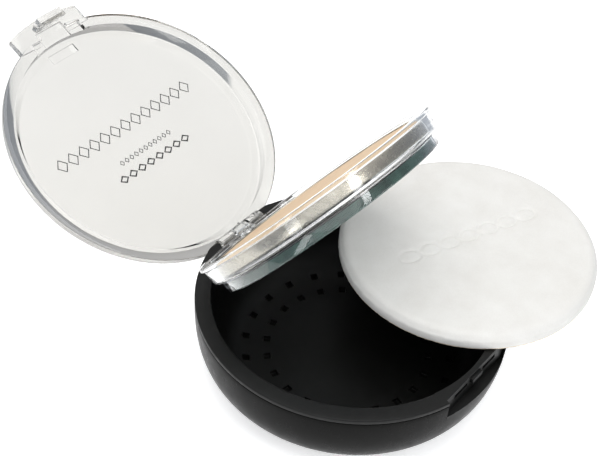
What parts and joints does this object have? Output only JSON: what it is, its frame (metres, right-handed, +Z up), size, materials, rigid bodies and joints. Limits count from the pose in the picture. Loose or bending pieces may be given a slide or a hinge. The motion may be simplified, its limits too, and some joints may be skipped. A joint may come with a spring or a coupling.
{
  "type": "powder compact",
  "caption": "Round powder compact: black bowl base with a vented puff well, clear hinged tray with powder over a mirror, clear latching lid and a velour puff on the rim.",
  "frame": {"origin": "centre of the base's flat foot, on the table", "axes": "+Z up, +Y towards the hinge, -Y towards the latch notch, hinge pin along X"},
  "size_m": [0.101, 0.1504, 0.0725],
  "materials": {
    "shell_gloss_black": "satin gloss",
    "liner_matte_black": "fine matte",
    "pin_steel": "polished",
    "clear_plastic": "clear, polished",
    "pan_metal": "satin",
    "glue": "hot-melt",
    "powder_cake": "pressed powder",
    "tape": "foam tape",
    "mirror": "silvered float glass",
    "puff_velour": "short velour pile",
    "puff_foam": "soft latex foam"
  },
  "bodies": {
    "base": {"base_shell": "shell_gloss_black", "base_liner": "liner_matte_black", "hinge_pin": "pin_steel"},
    "tray": {"powder_tray": "clear_plastic", "powder_pan": "pan_metal", "pan_glue": "glue", "pressed_powder": "powder_cake", "mirror_ring": "clear_plastic", "mirror_tape": "tape", "mirror_glass": "mirror"},
    "lid": {"lid": "clear_plastic"},
    "puff": {"puff_bottom_face": "puff_velour", "puff_foam": "puff_foam", "puff_top_face": "puff_velour"}
  },
  "joints": [
    {"name": "tray_hinge", "type": "hinge", "parent": "base", "child": "tray", "pos_m": [0, 0.0356, 0.0192], "axis": [-1, 0, 0], "range_deg": [-52.6, 5.4]},
    {"name": "lid_hinge", "type": "hinge", "parent": "tray", "child": "lid", "pos_m": [0, 0.0356, 0.0192], "axis": [-1, 0, 0], "range_deg": [-100.6, 0]},
    {"name": "puff_slide", "type": "slide", "parent": "base", "child": "puff", "axis": [0.9816, -0.1908, 0], "range_m": [-0.0061, 0.0582]}
  ],
  "couplings": [
    {"joint": "puff_slide", "follows": "tray_hinge", "m_per_rad": -0.063178}
  ]
}
